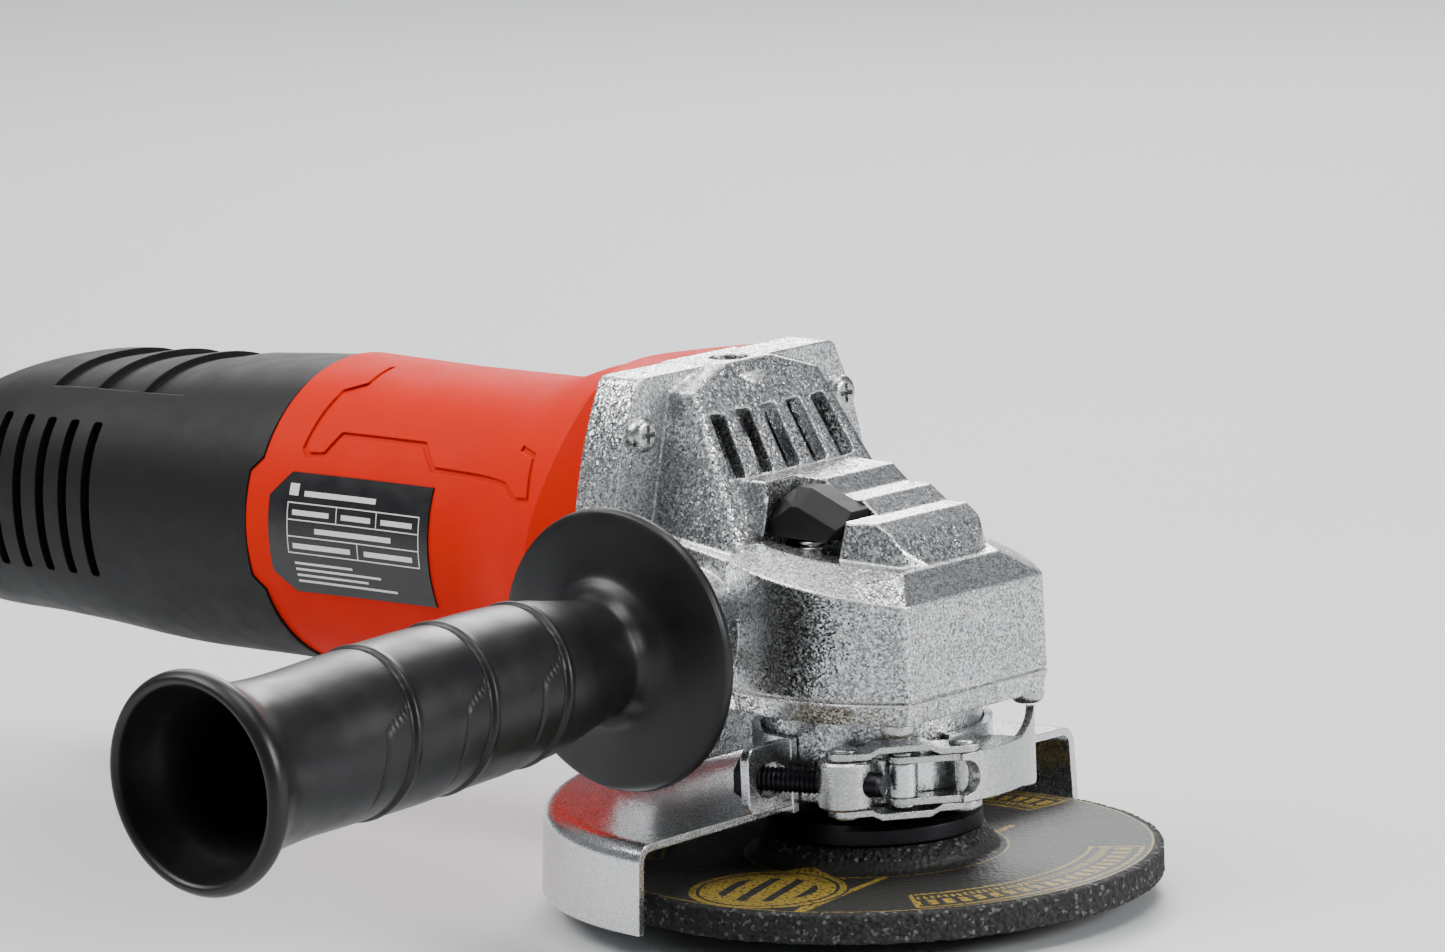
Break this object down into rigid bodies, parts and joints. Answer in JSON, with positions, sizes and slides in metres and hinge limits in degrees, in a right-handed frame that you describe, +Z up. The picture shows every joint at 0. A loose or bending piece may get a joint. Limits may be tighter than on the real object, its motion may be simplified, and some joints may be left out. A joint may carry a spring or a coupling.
{
  "type": "angle grinder",
  "caption": "Handheld electric angle grinder with a depressed-centre grinding disc, clamped disc guard with quick lever, screw-in side handle, slide switch and spindle lock.",
  "frame": {"origin": "centre of the spindle's free end, below the disc", "axes": "+Z up the spindle, away from the disc; +X from the rear of the tool to its nose; +Y to the tool's left, away from the side handle"},
  "size_m": [0.3215, 0.242, 0.1066],
  "materials": {
    "cast_housing": "silver cast metal, lightly speckled",
    "red_plastic": "soft gloss",
    "black_plastic": "fine texture",
    "black_gloss": "smooth",
    "grip_plastic": "satin",
    "zinc": "zinc plated",
    "steel": "turned",
    "hardened_steel": "ground",
    "black_steel": "black oxide",
    "spring_steel": "drawn wire",
    "guard_steel": "silver, semi gloss",
    "bronze": "sintered",
    "copper": "enamelled wire",
    "brass": "pressed",
    "carbon": "graphite",
    "lamination": "stamped",
    "rubber": "moulded",
    "abrasive": "bonded grit",
    "plate": "printed label"
  },
  "bodies": {
    "housing": {"gear_housing": "cast_housing", "bearing_cover": "cast_housing", "cover_screws": "zinc", "housing_screws": "zinc", "lock_spring": "spring_steel", "spindle_bearing": "hardened_steel", "spindle_bush": "bronze", "motor_housing": "red_plastic", "front_bearing": "hardened_steel", "rear_bearing": "hardened_steel", "bearing_sleeve": "rubber", "stator_core": "lamination", "stator_coils": "copper", "air_baffle": "black_plastic", "brush_holders": "brass", "carbon_brushes": "carbon", "brush_springs": "spring_steel", "power_switch": "black_gloss", "noise_capacitor": "black_gloss", "rating_plate": "plate", "rear_cover_left": "black_plastic", "rear_cover_right": "black_plastic", "rear_cover_screws": "zinc"},
    "spindle": {"spindle": "steel", "bevel_gear": "hardened_steel", "gear_clip": "spring_steel", "inner_flange": "steel", "outer_nut": "black_steel", "grinding_disc": "abrasive"},
    "armature": {"armature_shaft": "steel", "armature_core": "lamination", "armature_winding": "copper", "commutator": "brass", "cooling_fan": "black_plastic", "pinion": "hardened_steel", "pinion_nut": "zinc"},
    "lock_button": {"lock_button": "black_plastic", "lock_pin": "steel"},
    "guard": {"guard": "guard_steel", "clamp_band": "guard_steel", "lever_pin": "zinc"},
    "clamp_lever": {"clamp_lever": "zinc", "link_rivet": "zinc"},
    "clamp_link": {"link_plates": "zinc"},
    "clamp_nut": {"barrel_nut": "zinc", "clamp_bolt": "black_steel"},
    "switch": {"switch_slider": "black_plastic", "switch_rod": "black_plastic"},
    "side_handle": {"handle_grip": "grip_plastic", "handle_stud": "zinc"}
  },
  "joints": [
    {"name": "armature_spin", "type": "hinge", "parent": "housing", "child": "armature", "pos_m": [-0.09, 0, 0.0665], "axis": [1, 0, 0], "continuous": true},
    {"name": "spindle_spin", "type": "hinge", "parent": "housing", "child": "spindle", "pos_m": [0, 0, 0], "axis": [0, 0, 1], "continuous": true},
    {"name": "lock_press", "type": "slide", "parent": "housing", "child": "lock_button", "axis": [0, 0, -1], "range_m": [0, 0.0022], "stiffness_N_per_m": 800, "deforming": ["lock_spring"]},
    {"name": "guard_turn", "type": "hinge", "parent": "housing", "child": "guard", "pos_m": [0, 0, 0.03], "axis": [0, 0, 1], "range_deg": [-30, 150]},
    {"name": "lever_open", "type": "hinge", "parent": "guard", "child": "clamp_lever", "pos_m": [0.0206, -0.0152, 0.0293], "axis": [0, 0, 1], "range_deg": [-80, 0]},
    {"name": "link_turn", "type": "hinge", "parent": "clamp_lever", "child": "clamp_link", "pos_m": [0.028, -0.0055, 0.0293], "axis": [0, 0, 1], "range_deg": [0, 40.5]},
    {"name": "nut_turn", "type": "hinge", "parent": "clamp_link", "child": "clamp_nut", "pos_m": [0.014, -0.0245, 0.0293], "axis": [0, 0, 1], "range_deg": [0, 40.5]},
    {"name": "switch_slide", "type": "slide", "parent": "housing", "child": "switch", "axis": [1, 0, 0], "range_m": [0, 0.006]},
    {"name": "handle_unscrew", "type": "slide", "parent": "housing", "child": "side_handle", "axis": [0.0499, -0.9983, -0.0299], "range_m": [0, 0.02]}
  ],
  "couplings": [
    {"joint": "spindle_spin", "follows": "armature_spin", "ratio": -0.33333},
    {"joint": "link_turn", "follows": "lever_open", "ratio": -0.5},
    {"joint": "nut_turn", "follows": "lever_open", "ratio": -0.5}
  ]
}
